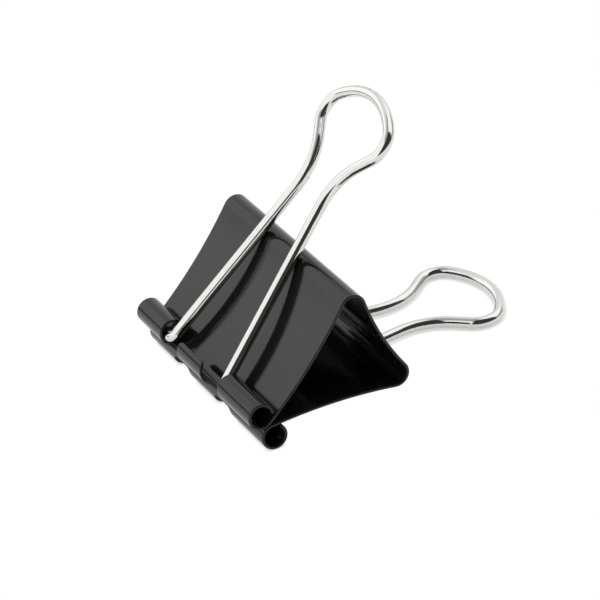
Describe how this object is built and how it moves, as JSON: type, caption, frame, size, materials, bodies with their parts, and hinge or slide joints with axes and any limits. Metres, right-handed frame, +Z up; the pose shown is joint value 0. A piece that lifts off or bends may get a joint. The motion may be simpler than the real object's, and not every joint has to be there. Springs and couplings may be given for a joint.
{
  "type": "binder clip",
  "caption": "Folded spring-steel clip with rolled lips and two hinged wire handles; squeezing the handles opens the jaws to hold leather or paper.",
  "frame": {"origin": "centre of the bounding box in X and Y, on the surface the clip lies on", "axes": "+X along the lips, +Y from the mouth towards the handle loops, +Z up with the clip lying on its rear handle; the front jaw and front handle are uppermost"},
  "size_m": [0.019, 0.024, 0.0183],
  "materials": {
    "black_enamel": "gloss black enamel on spring steel",
    "nickel_wire": "bright nickel-plated spring wire"
  },
  "bodies": {
    "spine": {"spine_panel": "black_enamel", "front_bend": "black_enamel", "rear_bend": "black_enamel"},
    "front_jaw": {"front_jaw": "black_enamel"},
    "rear_jaw": {"rear_jaw": "black_enamel"},
    "front_handle": {"front_handle": "nickel_wire"},
    "rear_handle": {"rear_handle": "nickel_wire"}
  },
  "joints": [
    {"name": "front_jaw_open", "type": "hinge", "parent": "spine", "child": "front_jaw", "pos_m": [0, -0.00324, 0.0084], "axis": [-1, 0, 0], "range_deg": [0, 20], "stiffness_Nm_per_rad": 0.3, "deforming": ["front_bend"]},
    {"name": "rear_jaw_open", "type": "hinge", "parent": "spine", "child": "rear_jaw", "pos_m": [0, -0.00077, 0.00235], "axis": [1, 0, 0], "range_deg": [0, 20], "stiffness_Nm_per_rad": 0.3, "deforming": ["rear_bend"]},
    {"name": "front_handle_swing", "type": "hinge", "parent": "front_jaw", "child": "front_handle", "pos_m": [0, -0.01132, 0.00263], "axis": [1, 0, 0], "range_deg": [0, 145]},
    {"name": "rear_handle_swing", "type": "hinge", "parent": "rear_jaw", "child": "rear_handle", "pos_m": [0, -0.01058, 0.00084], "axis": [-1, 0, 0], "range_deg": [0, 145]}
  ],
  "couplings": [
    {"joint": "rear_jaw_open", "follows": "front_jaw_open", "ratio": 1}
  ]
}
